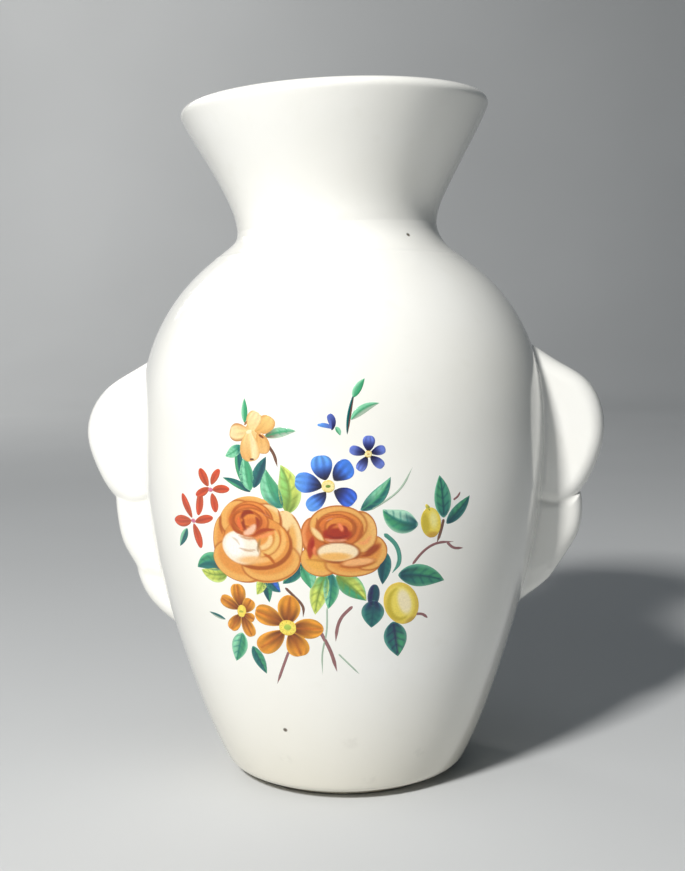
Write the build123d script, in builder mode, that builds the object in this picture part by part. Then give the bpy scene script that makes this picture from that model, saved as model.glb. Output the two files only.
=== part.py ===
"""Two-handled earthenware flower vase: ovoid body, flared neck, lobed ear handles, floral transfer."""
from build123d import *

import os
from math import cos, radians, sin

# ---------------------------------------------------------------- body and neck, millimetres
height = 165.5              # from the standing face to the mouth, along the neck's own axis
wall = 3.5                  # fired wall of the body and the neck
floor_thickness = 5.0       # top of the inside floor above the standing face
foot_radius = 25.4          # outer edge of the bare ring that the vase stands on
foot_ring_width = 5.0
foot_ring_height = 1.6
underside_z = 2.4           # glazed underside, set up inside the ring
heel_inner_radius = 27.1    # where the heel rounds up out of the bottom, clear of the ring
body_start_radius = 30.7    # body wall just above the rounded heel
heel_height = 3.8
belly_radius = 50.3
belly_z = 88.0
neck_radius = 24.8          # narrowest place, where the neck is luted to the body
neck_z = 135.5
neck_lean = 2.0             # degrees that the neck leans towards -X
mouth_radius = 37.6         # outside of the flare where the lip starts to round over
lip_drop = 2.3              # from the crown of the lip down to that place
enamel = 0.12               # raised film of the fired transfer colours

# ---------------------------------------------------------------- handles, millimetres
upper_lobe_thickness = 9.0  # across the handle, along Y
lower_lobe_thickness = 8.0
small_lobe_thickness = 6.8
lobe_edge_round = 2.6
handle_root_x = 38.0        # the lobes start inside the wall and are cut back to its face

neck_up = (-sin(radians(neck_lean)), 0, cos(radians(neck_lean)))
neck_across = (cos(radians(neck_lean)), 0, sin(radians(neck_lean)))
neck_cut = Plane(origin=(0, 0, neck_z), x_dir=neck_across, z_dir=neck_up)
neck_profile = Plane(origin=(0, 0, neck_z), x_dir=(0, 1, 0), z_dir=neck_across)
neck_axis = Axis((0, 0, neck_z), neck_up)
neck_length = height - neck_z
profile = Plane.YZ          # turned profiles: radius towards the back of the vase, z up
front = Plane.XZ            # drawings on the front face: x to the right, z up


def beside(line, distance, count=24):
    """Points beside a profile line, square to it by a distance, outward when positive."""
    points = []
    for step in range(count + 1):
        tangent = line % (step / count)
        outward = Vector(tangent.Y, -tangent.X)
        points.append(line @ (step / count) + outward * distance)
    return points


# ================================================================ body
# The wall rises from the heel to the belly, rounds in over the shoulder and turns up into the neck.
with BuildLine() as body_outline:
    Spline(
        (body_start_radius, heel_height),
        (40.0, 28.0),
        (47.2, 55.0),
        (belly_radius, belly_z),
        (47.4, 106.0),
        (41.1, 118.0),
        (30.9, 128.0),
        (neck_radius, neck_z),
        tangents=[(0.45, 0.9), (0.0, 1.0)],
    )
body_line = body_outline.edge()
inner_wall = [point for point in beside(body_line, -wall) if point.Y > 2.5 * floor_thickness]
stub_top = neck_z + 3.0     # spare height above the luting plane, cut off square to the neck
ring_inner_radius = foot_radius - foot_ring_width
ring_top_radius = foot_radius + 0.8

with BuildPart() as vase_body:
    with BuildSketch(profile):
        with BuildLine():
            Line((ring_top_radius, foot_ring_height), (heel_inner_radius, foot_ring_height))
            TangentArc(
                (heel_inner_radius, foot_ring_height), (body_start_radius, heel_height), tangent=(1, 0)
            )
            add(body_line)
            Polyline(
                (neck_radius, neck_z),
                (neck_radius, stub_top),
                (neck_radius - wall, stub_top),
                inner_wall[-1],
            )
            bowl = Spline(*inner_wall[::-1])
            Spline(
                bowl @ 1,
                (inner_wall[0].X - 7.0, floor_thickness),
                tangents=[bowl % 1, (-1, 0)],
            )
            Polyline(
                (inner_wall[0].X - 7.0, floor_thickness),
                (0, floor_thickness),
                (0, underside_z),
                (ring_inner_radius, underside_z),
                (ring_inner_radius, foot_ring_height),
                (ring_top_radius, foot_ring_height),
            )
        make_face()
    revolve(axis=Axis.Z)
    split(bisect_by=neck_cut, keep=Keep.BOTTOM)
vase_body.part.label = "vase_body"

# The whole body as one block with no hollow, used to cut the handles back to the wall's face.
with BuildPart() as body_block:
    with BuildSketch(profile):
        with BuildLine():
            add(body_line)
            Polyline(
                (neck_radius, neck_z),
                (0, neck_z),
                (0, heel_height),
                (body_start_radius, heel_height),
            )
        make_face()
    revolve(axis=Axis.Z)

# ================================================================ foot ring
# A bare, ground ring of the same clay, softened at both edges.
with BuildPart() as foot_ring:
    with BuildSketch(profile):
        with BuildLine():
            Polyline(
                (ring_top_radius, foot_ring_height),
                (ring_inner_radius, foot_ring_height),
                (ring_inner_radius, 0.5),
            )
            RadiusArc((ring_inner_radius, 0.5), (ring_inner_radius + 0.5, 0), -0.5)
            Line((ring_inner_radius + 0.5, 0), (foot_radius - 0.6, 0))
            SagittaArc((foot_radius - 0.6, 0), (ring_top_radius, foot_ring_height), -0.3)
        make_face()
    revolve(axis=Axis.Z)
foot_ring.part.label = "foot_ring"

# ================================================================ neck
# The flare opens from the waist to a lip that is a full round of the wall.
with BuildLine() as flare_outline:
    Spline(
        (neck_radius, 0),
        (27.3, 8.5),
        (34.3, 21.3),
        (mouth_radius, neck_length - lip_drop),
        tangents=[(0, 1), (0.42, 0.9)],
    )
flare = flare_outline.edge()
flare_inside = beside(flare, -wall, count=12)

with BuildPart() as flared_neck:
    with BuildSketch(neck_profile):
        with BuildLine():
            add(flare)
            inside = Spline(*flare_inside)
            Line(flare @ 0, inside @ 0)
            lip_top = (flare @ 1 + inside @ 1) / 2 + (flare % 1) * (wall / 2)
            ThreePointArc(flare @ 1, lip_top, inside @ 1)
        make_face()
    revolve(axis=neck_axis)
flared_neck.part.label = "flared_neck"

# ================================================================ handles
# Each handle is a solid ear of three overlapping lobes, cast in one piece and luted to the wall.
# The small lobe is lowest, and each lobe above is thicker and laps over the one below it. The two ears
# were pressed and trimmed by hand, so their outlines differ a little. Both are drawn on the +X side.
right_upper = [
    (47.5, 106.4), (53.7, 102.3), (61.2, 97.3), (65.5, 86.0), (63.2, 76.0), (59.2, 69.4), (53.8, 65.8),
    (47.5, 67.6),
]
right_lower = [(52.6, 48.8), (59.2, 59.4), (59.8, 69.5)]
right_small = [(42.9, 39.4), (50.6, 45.4), (54.2, 52.5)]
left_upper = [
    (47.0, 104.4), (52.9, 100.9), (60.5, 95.9), (65.4, 86.0), (62.9, 75.5), (58.7, 68.8), (53.5, 65.6),
    (47.5, 67.6),
]
left_lower = [(52.0, 48.2), (57.4, 58.4), (58.6, 69.5)]
left_small = [(43.0, 35.3), (51.2, 43.2), (54.0, 52.5)]
upper_root_top = 112.2
upper_root_foot = 73.6
lower_root_foot = 44.0
small_root_foot = 34.0


def pillow(outline, thickness):
    """A lobe: its outline at full thickness, both rims rounded over, cut back to the body's wall."""
    with BuildPart() as lobe:
        with BuildSketch(front.offset(-thickness / 2)):
            add(outline.sketch_local)
        extrude(amount=thickness)
        fillet(lobe.faces().filter_by(Axis.Y).edges(), radius=lobe_edge_round)
        add(body_block.part, mode=Mode.SUBTRACT)
    return lobe.part


def upper_lobe(points):
    """The top lobe's outline: down over its crown and in under itself, closed inside the wall."""
    with BuildSketch(front) as outline:
        with BuildLine() as edge:
            Spline(*points, tangents=[(0.85, -0.53), (-0.8, 0.5)])
            Polyline(
                points[-1],
                (handle_root_x, upper_root_foot),
                (handle_root_x, upper_root_top),
                points[0],
            )
        make_face(edge.edges())
    return outline


def hanging_lobe(points, root_foot):
    """A lower lobe's outline: one arc from its foot up to where the lobe above covers it."""
    foot, middle, top = points
    with BuildSketch(front) as outline:
        with BuildLine() as edge:
            ThreePointArc(foot, middle, top)
            Polyline(top, (handle_root_x, top[1]), (handle_root_x, root_foot), foot)
        make_face(edge.edges())
    return outline


def ear(upper, lower, small):
    """The three lobes of one handle, before they are joined."""
    return [
        pillow(hanging_lobe(small, small_root_foot), small_lobe_thickness),
        pillow(hanging_lobe(lower, lower_root_foot), lower_lobe_thickness),
        pillow(upper_lobe(upper), upper_lobe_thickness),
    ]


right_lobes = ear(right_upper, right_lower, right_small)
with BuildPart() as right_handle:
    add(right_lobes)
right_handle.part.label = "right_handle"

left_lobes = ear(left_upper, left_lower, left_small)
with BuildPart() as left_ear:
    add(left_lobes)
with BuildPart() as left_handle:
    mirror(left_ear.part, about=Plane.YZ)
left_handle.part.label = "left_handle"

# ================================================================ fired transfer
# The colours are a thin enamel film on the glaze. Each motif is drawn flat, as seen from the front,
# and takes the curve of the wall. Motifs never overlap: the one laid first keeps the ground.
with BuildPart() as film:
    with BuildSketch(profile):
        with BuildLine():
            add(body_line)
            film_face = Spline(*beside(body_line, enamel))
            Line(body_line @ 0, film_face @ 0)
            Line(body_line @ 1, film_face @ 1)
        make_face()
    revolve(axis=Axis.Z)

film_front_y = 60.0         # the drawings are pressed through the film from in front of the belly
film_back_y = 20.0
smallest_patch = 0.4        # square millimetres; lesser scraps between motifs are dropped
laid = []
transfer = []


def petals(*blobs):
    """Oval petals, each given as centre x and z, length, width and turn in degrees."""
    for x, z, length, width, turn in blobs:
        with Locations((x, z)):
            Ellipse(length / 2, width / 2, rotation=turn)


def leaf(base, tip, width):
    """A pointed leaf of two arcs from its base to its tip."""
    middle = (Vector(*base) + Vector(*tip)) / 2
    along = (Vector(*tip) - Vector(*base)).normalized()
    side = Vector(-along.Y, along.X) * (width / 2)
    with BuildLine() as edge:
        ThreePointArc(base, middle + side, tip)
        ThreePointArc(tip, middle - side, base)
    make_face(edge.edges())


def stem(*points, width=0.7):
    """A brush line of even width through its points."""
    with BuildLine() as stroke:
        Spline(*points)
    trace(stroke.edges(), line_width=width)


def lay(outline, label):
    """Press an outline into the enamel film, leaving out the ground that earlier motifs hold."""
    with BuildSketch() as ground:
        add(outline.sketch)
        for other in laid:
            add(other, mode=Mode.SUBTRACT)
    patches = [face for face in ground.sketch.faces() if face.area > smallest_patch]
    laid.append(outline.sketch)
    with BuildPart() as motif:
        with BuildSketch(front.offset(film_back_y)):
            add(patches)
        extrude(amount=film_front_y - film_back_y)
        add(film.part, mode=Mode.INTERSECT)
    motif.part.label = label
    transfer.append(motif)


with BuildSketch() as rose_right:
    petals((2.9, 65.4, 17.4, 14.6, 0), (-1.0, 62.4, 9.5, 8.0, 0), (8.6, 62.2, 8.4, 6.4, 30))
lay(rose_right, "rose_right")

with BuildSketch() as rose_left:
    petals(
        (-16.6, 65.2, 20.0, 19.4, 0),
        (-23.2, 61.8, 7.0, 9.0, 0),
        (-16.8, 59.2, 15.0, 7.6, 0),
        (-8.8, 64.6, 6.0, 12.0, 0),
    )
lay(rose_left, "rose_left")

with BuildSketch() as blue_flower_large:
    petals(
        (-1.0, 81.6, 5.3, 4.4, 100),
        (3.4, 80.3, 4.8, 4.2, 40),
        (3.6, 75.3, 4.5, 3.5, -20),
        (-2.0, 74.3, 4.9, 2.9, 35),
        (-4.1, 78.3, 5.4, 4.0, -6),
        (0.4, 77.7, 3.4, 3.4, 0),
    )
lay(blue_flower_large, "blue_flower_large")

with BuildSketch() as blue_flower_small:
    petals(
        (9.1, 86.8, 3.0, 2.4, 90),
        (11.2, 84.9, 2.6, 1.9, 15),
        (10.6, 82.4, 2.9, 1.9, -35),
        (7.5, 82.1, 2.9, 2.0, 65),
        (6.4, 84.9, 3.0, 1.9, -20),
        (8.9, 84.3, 2.0, 2.0, 0),
    )
lay(blue_flower_small, "blue_flower_small")

with BuildSketch() as blue_bud:
    petals((1.0, 91.2, 3.4, 1.7, 100), (-0.4, 90.3, 2.3, 1.0, -10), (2.5, 89.4, 2.0, 1.0, 110))
lay(blue_bud, "blue_bud")

with BuildSketch() as red_blossom_upper:
    leaf((-26.6, 76.3), (-28.8, 80.3), 2.2)
    leaf((-25.8, 76.9), (-24.1, 80.4), 1.7)
    leaf((-25.2, 75.6), (-21.8, 76.4), 1.9)
    leaf((-25.7, 74.8), (-25.5, 71.0), 2.1)
    leaf((-26.9, 75.9), (-30.2, 74.3), 1.9)
    leaf((-29.0, 75.2), (-29.9, 69.9), 2.1)
lay(red_blossom_upper, "red_blossom_upper")

with BuildSketch() as red_blossom_lower:
    leaf((-31.6, 69.6), (-33.7, 74.2), 1.9)
    leaf((-32.2, 68.2), (-36.5, 67.8), 2.7)
    leaf((-29.8, 67.5), (-26.1, 69.5), 1.9)
    leaf((-31.3, 66.8), (-29.6, 62.2), 2.0)
lay(red_blossom_lower, "red_blossom_lower")

with BuildSketch() as apricot_blossom:
    petals(
        (-19.3, 89.1, 3.9, 4.0, 0),
        (-14.9, 91.2, 3.4, 3.4, 0),
        (-13.0, 91.2, 3.4, 2.3, 90),
        (-16.0, 85.8, 6.4, 4.4, 90),
        (-16.7, 89.3, 4.2, 3.2, 0),
        (-14.2, 86.3, 4.0, 2.2, 80),
    )
lay(apricot_blossom, "apricot_blossom")

with BuildSketch() as amber_flower_large:
    petals((-14.2, 47.6, 5.4, 4.0, -20), (-4.4, 45.0, 6.2, 3.9, 0), (-14.1, 42.0, 6.4, 3.8, 42))
    petals((-8.2, 41.0, 5.0, 4.3, -55), (-9.6, 45.3, 4.8, 4.6, 0), (-8.9, 49.2, 4.6, 4.4, 90))
    leaf((-9.2, 47.2), (-8.7, 53.0), 3.6)
lay(amber_flower_large, "amber_flower_large")

with BuildSketch() as amber_flower_small:
    petals((-20.7, 52.6, 3.9, 3.0, 95), (-23.2, 49.6, 3.9, 2.6, -28), (-18.5, 48.4, 4.3, 2.0, 90))
    petals((-21.9, 45.1, 3.6, 2.1, 50), (-19.1, 44.2, 3.3, 2.2, -58), (-20.3, 48.4, 3.0, 3.4, 0))
lay(amber_flower_small, "amber_flower_small")

with BuildSketch() as lemon_upper:
    petals((22.1, 68.8, 6.8, 4.3, 96))
    leaf((22.0, 70.5), (21.0, 72.5), 1.0)
lay(lemon_upper, "lemon_upper")

with BuildSketch() as lemon_lower:
    petals((15.5, 50.8, 10.0, 7.4, 105))
lay(lemon_lower, "lemon_lower")

with BuildSketch() as leaves:
    # above the left rose, round the apricot blossom
    leaf((-17.9, 91.0), (-17.9, 96.2), 1.5)
    leaf((-13.0, 88.4), (-6.6, 89.4), 2.2)
    petals((-20.8, 84.9, 3.4, 2.4, 20))
    leaf((-19.0, 84.4), (-18.4, 77.4), 1.9)
    leaf((-17.6, 83.6), (-17.2, 76.4), 3.2)
    leaf((-16.1, 77.0), (-13.2, 83.6), 2.6)
    leaf((-23.3, 78.8), (-17.0, 76.3), 1.7)
    leaf((-10.6, 82.0), (-8.6, 71.6), 5.2)
    leaf((-14.4, 75.4), (-10.4, 81.4), 3.4)
    # the loose sprig above the blue flowers
    leaf((4.6, 89.2), (6.3, 97.6), 0.9)
    leaf((5.9, 96.6), (8.2, 100.4), 1.7)
    leaf((5.5, 91.9), (11.2, 95.2), 1.9)
    # right side, round the lemons
    leaf((7.2, 72.4), (13.6, 79.2), 3.0)
    leaf((11.8, 72.4), (19.4, 68.6), 5.2)
    leaf((24.9, 69.8), (24.0, 79.0), 3.5)
    leaf((25.6, 68.3), (30.5, 73.9), 2.6)
    leaf((14.9, 57.6), (24.9, 55.2), 4.8)
    leaf((12.4, 62.4), (11.6, 55.8), 2.8)
    petals((9.6, 53.2, 4.3, 2.3, 80), (9.0, 48.9, 4.9, 5.0, 0))
    leaf((9.0, 50.5), (8.9, 45.6), 3.2)
    leaf((13.7, 46.5), (14.6, 38.1), 4.9)
    # under the roses
    leaf((-1.0, 57.8), (-3.2, 48.8), 4.0)
    leaf((0.2, 58.2), (-0.2, 50.2), 3.6)
    leaf((1.6, 57.8), (8.0, 52.2), 4.6)
    leaf((-5.9, 60.4), (-9.9, 55.8), 2.8)
    petals((-4.8, 56.2, 3.6, 2.8, 20), (-15.4, 54.0, 2.8, 2.2, 60), (-12.2, 54.8, 2.6, 2.8, 0))
    leaf((-14.2, 57.4), (-13.5, 51.3), 2.4)
    leaf((-23.2, 58.4), (-30.6, 57.6), 5.0)
    leaf((-23.4, 56.6), (-29.6, 56.6), 3.6)
    # low on the left
    leaf((-33.0, 66.1), (-35.4, 61.7), 1.8)
    leaf((-24.5, 45.7), (-28.5, 46.7), 1.0)
    leaf((-20.4, 42.8), (-22.4, 35.6), 3.7)
    leaf((-18.1, 39.8), (-15.2, 33.5), 2.7)
lay(leaves, "leaves")

with BuildSketch() as stems:
    stem((-14.0, 88.1), (-12.6, 86.2), (-11.4, 84.4), (-10.6, 81.6), width=0.8)
    stem((9.1, 72.2), (12.5, 74.2), (16.0, 77.2), (18.3, 81.3), width=0.5)
    stem((27.0, 73.4), (28.0, 74.1), (28.6, 75.2), width=0.5)
    stem((24.9, 69.2), (24.3, 66.8), (23.4, 64.1), width=0.7)
    stem((18.0, 59.6), (20.0, 62.0), (23.4, 64.0), (27.2, 64.0), width=0.7)
    stem((25.6, 64.0), (27.0, 62.6), (29.3, 62.2), width=0.7)
    stem((12.0, 67.0), (14.2, 64.8), (15.2, 62.2), (15.0, 59.9), (13.6, 57.9), width=0.8)
    stem((19.0, 47.9), (20.3, 47.6), (21.3, 46.6), width=0.7)
    stem((5.0, 50.7), (2.6, 48.2), (1.4, 45.2), (1.0, 42.2), width=0.8)
    stem((-0.6, 49.6), (-1.0, 44.2), (-2.0, 39.6), (-2.2, 33.8), width=0.5)
    stem((-2.3, 44.2), (-0.2, 39.9), (1.1, 34.8), width=0.9)
    stem((1.5, 39.3), (3.8, 36.7), (6.1, 34.1), width=0.5)
    stem((-10.0, 38.6), (-11.4, 35.0), (-12.8, 31.0), width=0.7)
    stem((-9.8, 54.8), (-7.6, 52.6), (-5.9, 50.2), (-6.0, 47.9), width=0.7)
lay(stems, "stems")

# ================================================================ write one file for each piece
os.makedirs("parts", exist_ok=True)
for piece in [vase_body, foot_ring, flared_neck, left_handle, right_handle, *transfer]:
    export_step(piece.part, f"parts/{piece.part.label}.step")
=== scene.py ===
"""Looks for the two-handled flower vase: glazed body, neck and handles, bare foot ring, fired transfer.

Shapes are worked out in millimetres in the CAD frame, front towards -Y, and written in metres.
"""

import math

import bmesh
import bpy
import numpy as np
from mathutils import Matrix, Vector


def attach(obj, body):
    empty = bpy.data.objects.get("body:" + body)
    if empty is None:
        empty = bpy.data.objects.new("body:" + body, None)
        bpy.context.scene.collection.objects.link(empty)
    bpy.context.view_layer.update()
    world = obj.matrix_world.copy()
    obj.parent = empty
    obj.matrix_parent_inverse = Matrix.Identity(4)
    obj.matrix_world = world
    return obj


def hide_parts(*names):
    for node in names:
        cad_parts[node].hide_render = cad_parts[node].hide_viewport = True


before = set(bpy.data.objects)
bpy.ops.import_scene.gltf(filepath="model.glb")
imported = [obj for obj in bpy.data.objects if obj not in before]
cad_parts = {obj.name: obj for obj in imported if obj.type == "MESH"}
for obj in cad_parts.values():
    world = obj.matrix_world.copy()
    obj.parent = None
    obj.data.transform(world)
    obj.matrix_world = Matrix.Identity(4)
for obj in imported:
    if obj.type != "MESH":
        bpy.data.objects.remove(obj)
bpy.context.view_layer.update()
BODY = "root"
MM = 0.001

# ---------------- driving sizes, millimetres
WALL = 3.5
FLOOR_TOP = 5.0
UNDERSIDE = 2.4
RING_TOP = 1.6
RING_OUTER = 26.2
RING_INNER = 20.4
RING_ROUND, RING_BEVEL = 0.5, 1.4       # its inner and outer lower edges
HEEL = (30.7, 3.8)
HEEL_INNER = 27.1           # where the heel rounds up out of the flat bottom
WAIST_RADIUS = 24.8
WAIST_Z = 135.5
LEAN = math.radians(2.0)
WAIST_DRIFT = -0.7          # how far the waist stands off the body's axis
SHOULDER_LINE_Z = 128.4     # faint raised line round the shoulder
SHOULDER_LINE_HEIGHT = 0.09
SHOULDER_LINE_SPREAD = 0.4
NECK_LENGTH = 29.97
MOUTH_RADIUS = 37.6
LIP_DROP = 2.3
TIPPED = 6.0                # height over which the body's wall tips into the neck's lean
BASIN_TOP = 12.0            # where the inside starts to round into the floor
BASIN_ROUND = 7.0
SEGMENTS = 240              # round a turned piece
FILM = 0.035                # height of the lowest enamel layer above the glaze
FILM_STEP = 0.006           # each layer painted over it
SUNK = 0.03                 # how far the underside of an enamel patch sits in the glaze
FILM_EDGE = 0.12            # width of a patch's rounded edge
FINE_GRID, COARSE_GRID = 0.2, 0.28      # mesh size of painted or wide patches, and of narrow plain ones
NARROW = 2.5


def smooth_line(points, start, end, steps=24):
    """A smooth curve through points, with unit tangents at both ends, as an array of (radius, z)."""
    p = np.array(points, float)
    h = np.linalg.norm(np.diff(p, axis=0), axis=1)
    n = len(p)
    a = np.zeros((n, n))
    b = np.zeros((n, 2))
    a[0, 0] = a[-1, -1] = 1
    b[0] = np.array(start) / np.linalg.norm(start)
    b[-1] = np.array(end) / np.linalg.norm(end)
    for i in range(1, n - 1):
        a[i, i - 1: i + 2] = h[i], 2 * (h[i - 1] + h[i]), h[i - 1]
        b[i] = 3 * (h[i] / h[i - 1] * (p[i] - p[i - 1]) + h[i - 1] / h[i] * (p[i + 1] - p[i]))
    m = np.linalg.solve(a, b)
    t = np.linspace(0, 1, steps, endpoint=False)[:, None]
    runs = []
    for i in range(n - 1):
        runs.append(
            (1 + 2 * t) * (1 - t) ** 2 * p[i] + t * (1 - t) ** 2 * h[i] * m[i]
            + t * t * (3 - 2 * t) * p[i + 1] + t * t * (t - 1) * h[i] * m[i + 1]
        )
    return np.vstack([*runs, p[-1:]])


def evenly(line, spacing):
    """The same curve with points a given distance apart."""
    along = np.r_[0, np.cumsum(np.linalg.norm(np.diff(line, axis=0), axis=1))]
    count = max(2, round(along[-1] / spacing) + 1)
    at = np.linspace(0, along[-1], count)
    return np.c_[np.interp(at, along, line[:, 0]), np.interp(at, along, line[:, 1])]


def beside(line, distance):
    """The curve moved square to itself, to its right when positive."""
    step = np.gradient(line, axis=0)
    step /= np.linalg.norm(step, axis=1)[:, None]
    return line + distance * np.c_[step[:, 1], -step[:, 0]]


def arc(centre, radius, start, end, count=32):
    """Points on a circle, or an ellipse of two half sizes, between two angles in degrees."""
    turn = np.radians(np.linspace(start, end, count))
    return np.array(centre) + np.array(radius) * np.c_[np.cos(turn), np.sin(turn)]


def bow(base, tip, bend=0.0, count=24):
    """A line from base to tip that swings out to its left by bend."""
    base, tip = np.array(base, float), np.array(tip, float)
    along = tip - base
    left = np.array((-along[1], along[0])) / np.linalg.norm(along)
    t = np.linspace(0, 1, count)[:, None]
    return base + along * t + left * bend * 4 * t * (1 - t)


# most radii of both curves are rounded values of a curve that was fitted to the photo's outline
body_curve = smooth_line(
    [HEEL, (40.0, 28.0), (47.2, 55.0), (50.28, 88.0), (47.4, 106.0), (41.1, 118.0), (30.9, 128.0),
     (WAIST_RADIUS, WAIST_Z)],
    (0.45, 0.9), (0.0, 1.0),
)
flare_curve = smooth_line(
    [(WAIST_RADIUS, 0), (27.3, 8.5), (34.3, 21.3), (MOUTH_RADIUS, NECK_LENGTH - LIP_DROP)],
    (0, 1), (0.42, 0.9),
)


def wall_radius(z):
    """Outer radius of the body at a height."""
    return np.interp(z, body_curve[:, 1], body_curve[:, 0])


def wall_slope(z):
    """How fast that radius grows with height."""
    return wall_radius(z + 0.5) - wall_radius(z - 0.5)


# ---------------- mesh helpers
def put_in_scene(name, data):
    """A new object for a mesh, light or camera."""
    thing = bpy.data.objects.new(name, data)
    bpy.context.scene.collection.objects.link(thing)
    return thing


def add_mesh(name, verts, faces, colours=None, merge=1e-7):
    """A smooth mesh object from points in millimetres. Points within merge metres become one, faces are
    turned outward, and colours, if given, are the enamel's linear colour at each point."""
    mesh = bpy.data.meshes.new(name)
    mesh.from_pydata((np.asarray(verts) * MM).tolist(), [], faces)
    if colours is not None:
        layer = mesh.color_attributes.new("enamel", "FLOAT_COLOR", "POINT")
        opaque = np.c_[colours, np.ones(len(colours))]
        layer.data.foreach_set("color", opaque.astype(np.float32).ravel())
    shape = bmesh.new()
    shape.from_mesh(mesh)
    bmesh.ops.remove_doubles(shape, verts=shape.verts, dist=merge)
    bmesh.ops.recalc_face_normals(shape, faces=shape.faces)
    shape.to_mesh(mesh)
    shape.free()
    mesh.polygons.foreach_set("use_smooth", [True] * len(mesh.polygons))
    return put_in_scene(name, mesh)


def hand_over(piece, material, slot, *nodes):
    """Gives a finished piece its material, its body and the CAD nodes that it stands for."""
    piece.data.materials.clear()
    piece.data.materials.append(material)
    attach(piece, BODY)
    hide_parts(*nodes)
    return piece


def lathe(name, outline, warp=None):
    """A closed turned piece: the outline runs once round its own section, ends on the axis allowed."""
    rows = len(outline)
    turn = np.linspace(0, 2 * math.pi, SEGMENTS, endpoint=False)
    r, z = outline[:, 0][:, None], outline[:, 1][:, None]
    verts = np.stack([r * np.cos(turn), r * np.sin(turn), np.repeat(z, SEGMENTS, 1)], -1)
    if warp:
        verts = warp(verts)
    closed = outline[0, 0] > 1e-6 and outline[-1, 0] > 1e-6
    faces = []
    for i in range(rows if closed else rows - 1):
        j = (i + 1) % rows
        for k in range(SEGMENTS):
            n = (k + 1) % SEGMENTS
            faces.append((i * SEGMENTS + k, i * SEGMENTS + n, j * SEGMENTS + n, j * SEGMENTS + k))
    return add_mesh(name, verts.reshape(-1, 3), faces)


# ---------------- materials
def srgb(*rgb):
    """A colour given as 0 to 255 screen values, as linear light."""
    c = np.asarray(rgb, float) / 255
    return np.where(c <= 0.04045, c / 12.92, ((c + 0.055) / 1.055) ** 2.4)


class Nodes:
    """A material being built, with short calls for the nodes it needs."""

    def __init__(self, name):
        self.material = bpy.data.materials.new(name)
        self.material.use_nodes = True
        self.tree = self.material.node_tree
        self.shader = self.tree.nodes["Principled BSDF"]
        self.place = self.add("ShaderNodeTexCoord").outputs["Object"]

    def add(self, kind, **settings):
        node = self.tree.nodes.new(kind)
        for key, value in settings.items():
            setattr(node, key, value)
        return node

    def link(self, source, target):
        self.tree.links.new(source, target)

    def set(self, **values):
        """Constant inputs of the shader, named with underscores for spaces."""
        for key, value in values.items():
            self.shader.inputs[key.replace("_", " ")].default_value = value

    def noise(self, scale, detail=3.0, roughness=0.5):
        node = self.add("ShaderNodeTexNoise")
        node.inputs["Scale"].default_value = scale
        node.inputs["Detail"].default_value = detail
        node.inputs["Roughness"].default_value = roughness
        self.link(self.place, node.inputs["Vector"])
        return node.outputs["Fac"]

    def ramp(self, source, *stops):
        """A colour ramp; each stop is (position, linear colour or grey)."""
        node = self.add("ShaderNodeValToRGB")
        elements = node.color_ramp.elements
        while len(elements) < len(stops):
            elements.new(0.5)
        for element, (position, value) in zip(elements, stops):
            element.position = position
            rgb = [value] * 3 if np.ndim(value) == 0 else list(value)
            element.color = (*rgb, 1)
        self.link(source, node.inputs["Fac"])
        return node.outputs["Color"]

    def feed(self, socket, value):
        """Joins an input to another node's output, or sets it to a colour or a number."""
        if isinstance(value, bpy.types.NodeSocket):
            self.link(value, socket)
        elif np.ndim(value):
            socket.default_value = (*value, 1)
        else:
            socket.default_value = value

    def mix(self, share, a, b, blend="MIX"):
        """Colour a turned into colour b by a share; a colour mix has those inputs at 0, 6 and 7."""
        node = self.add("ShaderNodeMix", data_type="RGBA", blend_type=blend)
        for place, value in ((0, share), (6, a), (7, b)):
            self.feed(node.inputs[place], value)
        return node.outputs[2]

    def times(self, a, b):
        node = self.add("ShaderNodeMath", operation="MULTIPLY")
        for socket, value in zip(node.inputs, (a, b)):
            self.feed(socket, value)
        return node.outputs[0]

    def fade(self, source, start, end, most=1.0, **settings):
        """A value that is most up to start and 0 from end on, both in millimetres."""
        node = self.add("ShaderNodeMapRange", **settings)
        self.link(source, node.inputs["Value"])
        for key, value in (("From Min", start * MM), ("From Max", end * MM), ("To Min", most), ("To Max", 0)):
            node.inputs[key].default_value = value
        return node.outputs["Result"]

    def spot(self, centre, size):
        """1 at a place on the piece, in millimetres, falling to 0 at a distance of size."""
        away = self.add("ShaderNodeVectorMath", operation="DISTANCE")
        self.link(self.place, away.inputs[0])
        away.inputs[1].default_value = [c * MM for c in centre]
        return self.fade(away.outputs["Value"], 0.35 * size, size, interpolation_type="SMOOTHERSTEP")

    def bump(self, height, depth, under=None):
        """Relief of a depth in millimetres, over the relief under it."""
        node = self.add("ShaderNodeBump")
        node.inputs["Distance"].default_value = depth * MM
        self.link(height, node.inputs["Height"])
        if under:
            self.link(under, node.inputs["Normal"])
        return node.outputs["Normal"]


def drift(z):
    """Sideways offset of the vase's wall at a height: the waist stands a little off centre."""
    return WAIST_DRIFT * np.exp(-((z - WAIST_Z) / 10.0) ** 2)


def on_wall(x, z, lift=0.0):
    """The point of the body's front at x and z, raised square to the wall."""
    x, z = np.asarray(x, float), np.asarray(z, float)
    r = wall_radius(z)
    y = -np.sqrt(np.maximum(r * r - x * x, 1e-6))
    n = np.stack([x / r, y / r, -wall_slope(z)], -1)
    n /= np.linalg.norm(n, axis=-1)[..., None]
    return np.stack([x + drift(z), y, z], -1) + n * np.asarray(lift)[..., None]


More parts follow.
